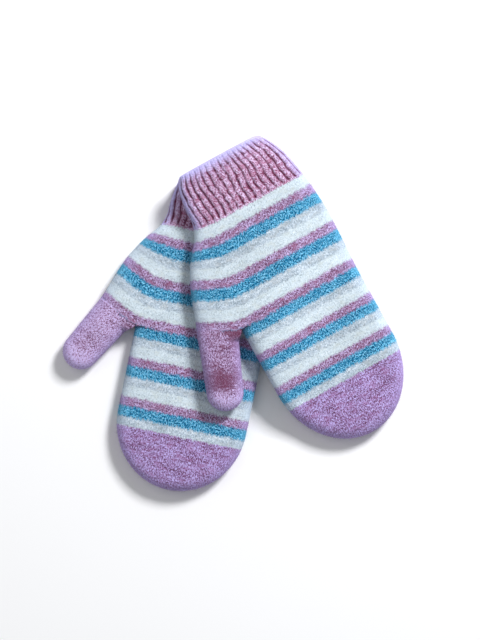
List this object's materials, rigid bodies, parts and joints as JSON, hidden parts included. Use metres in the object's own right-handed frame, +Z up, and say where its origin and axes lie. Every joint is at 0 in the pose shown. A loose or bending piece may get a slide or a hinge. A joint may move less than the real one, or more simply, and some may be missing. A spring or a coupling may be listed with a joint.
{
  "type": "knitted mittens",
  "caption": "Pair of striped, fulled wool mittens lying flat with one laid partly over the other, with hollow hands and thumbs, ribbed cuffs and plain round fingertips.",
  "frame": {"origin": "on the table under the middle of the pair's bounding box", "axes": "+Z up from the table; the fingers of both mittens point towards -Y, the cuffs towards +Y and the thumbs towards -X"},
  "size_m": [0.2731, 0.2846, 0.0326],
  "materials": {
    "lilac_rib": "ribbed heather wool, brushed nap",
    "lilac_wool": "fulled heather wool",
    "teal_wool": "fulled heather wool",
    "grey_wool": "fulled heather wool",
    "cream_wool": "fulled wool"
  },
  "bodies": {
    "bottom_hand": {"bottom_cuff": "lilac_rib", "bottom_cream_band_1": "cream_wool", "bottom_lilac_band_1": "lilac_wool", "bottom_teal_band_1": "teal_wool", "bottom_grey_band_1": "grey_wool", "bottom_cream_band_2": "cream_wool", "bottom_lilac_band_2": "lilac_wool", "bottom_teal_band_2": "teal_wool", "bottom_grey_band_2": "grey_wool", "bottom_cream_band_3": "cream_wool", "bottom_lilac_band_3": "lilac_wool", "bottom_teal_band_3": "teal_wool", "bottom_grey_band_3": "grey_wool", "bottom_cream_band_4": "cream_wool", "bottom_lilac_band_4": "lilac_wool", "bottom_teal_band_4": "teal_wool", "bottom_grey_band_4": "grey_wool", "bottom_cream_band_5": "cream_wool"},
    "bottom_fingers": {"bottom_lilac_band_5": "lilac_wool", "bottom_teal_band_5": "teal_wool", "bottom_grey_band_5": "grey_wool", "bottom_fingertips": "lilac_wool"},
    "bottom_thumb": {"bottom_thumb": "lilac_wool"},
    "top_hand": {"top_cuff": "lilac_rib", "top_cream_band_1": "cream_wool", "top_lilac_band_1": "lilac_wool", "top_teal_band_1": "teal_wool", "top_grey_band_1": "grey_wool", "top_cream_band_2": "cream_wool", "top_lilac_band_2": "lilac_wool", "top_teal_band_2": "teal_wool", "top_grey_band_2": "grey_wool", "top_cream_band_3": "cream_wool", "top_lilac_band_3": "lilac_wool", "top_teal_band_3": "teal_wool", "top_grey_band_3": "grey_wool", "top_cream_band_4": "cream_wool", "top_lilac_band_4": "lilac_wool", "top_teal_band_4": "teal_wool", "top_grey_band_4": "grey_wool", "top_cream_band_5": "cream_wool"},
    "top_fingers": {"top_lilac_band_5": "lilac_wool", "top_teal_band_5": "teal_wool", "top_grey_band_5": "grey_wool", "top_fingertips": "lilac_wool"},
    "top_thumb": {"top_thumb": "lilac_wool"}
  },
  "joints": [
    {"name": "top_mitten_lift", "type": "slide", "parent": "bottom_hand", "child": "top_hand", "axis": [0, 0, 1], "range_m": [0, 0.15]},
    {"name": "bottom_finger_fold", "type": "hinge", "parent": "bottom_hand", "child": "bottom_fingers", "pos_m": [-0.03852, -0.07599, 0.0163], "axis": [-0.9789, 0.2045, 0], "range_deg": [0, 90]},
    {"name": "bottom_thumb_fold", "type": "hinge", "parent": "bottom_hand", "child": "bottom_thumb", "pos_m": [-0.09364, 0.00171, 0.0163], "axis": [-0.779, 0.6271, 0], "range_deg": [0, 90]},
    {"name": "top_finger_fold", "type": "hinge", "parent": "top_hand", "child": "top_fingers", "pos_m": [0.07868, -0.03441, 0.02266], "axis": [-0.8686, -0.4815, 0.1171], "range_deg": [0, 90]},
    {"name": "top_thumb_fold", "type": "hinge", "parent": "top_hand", "child": "top_thumb", "pos_m": [-0.01227, -0.01441, 0.0328], "axis": [-0.9994, -0.0343, 0], "range_deg": [0, 90]}
  ]
}
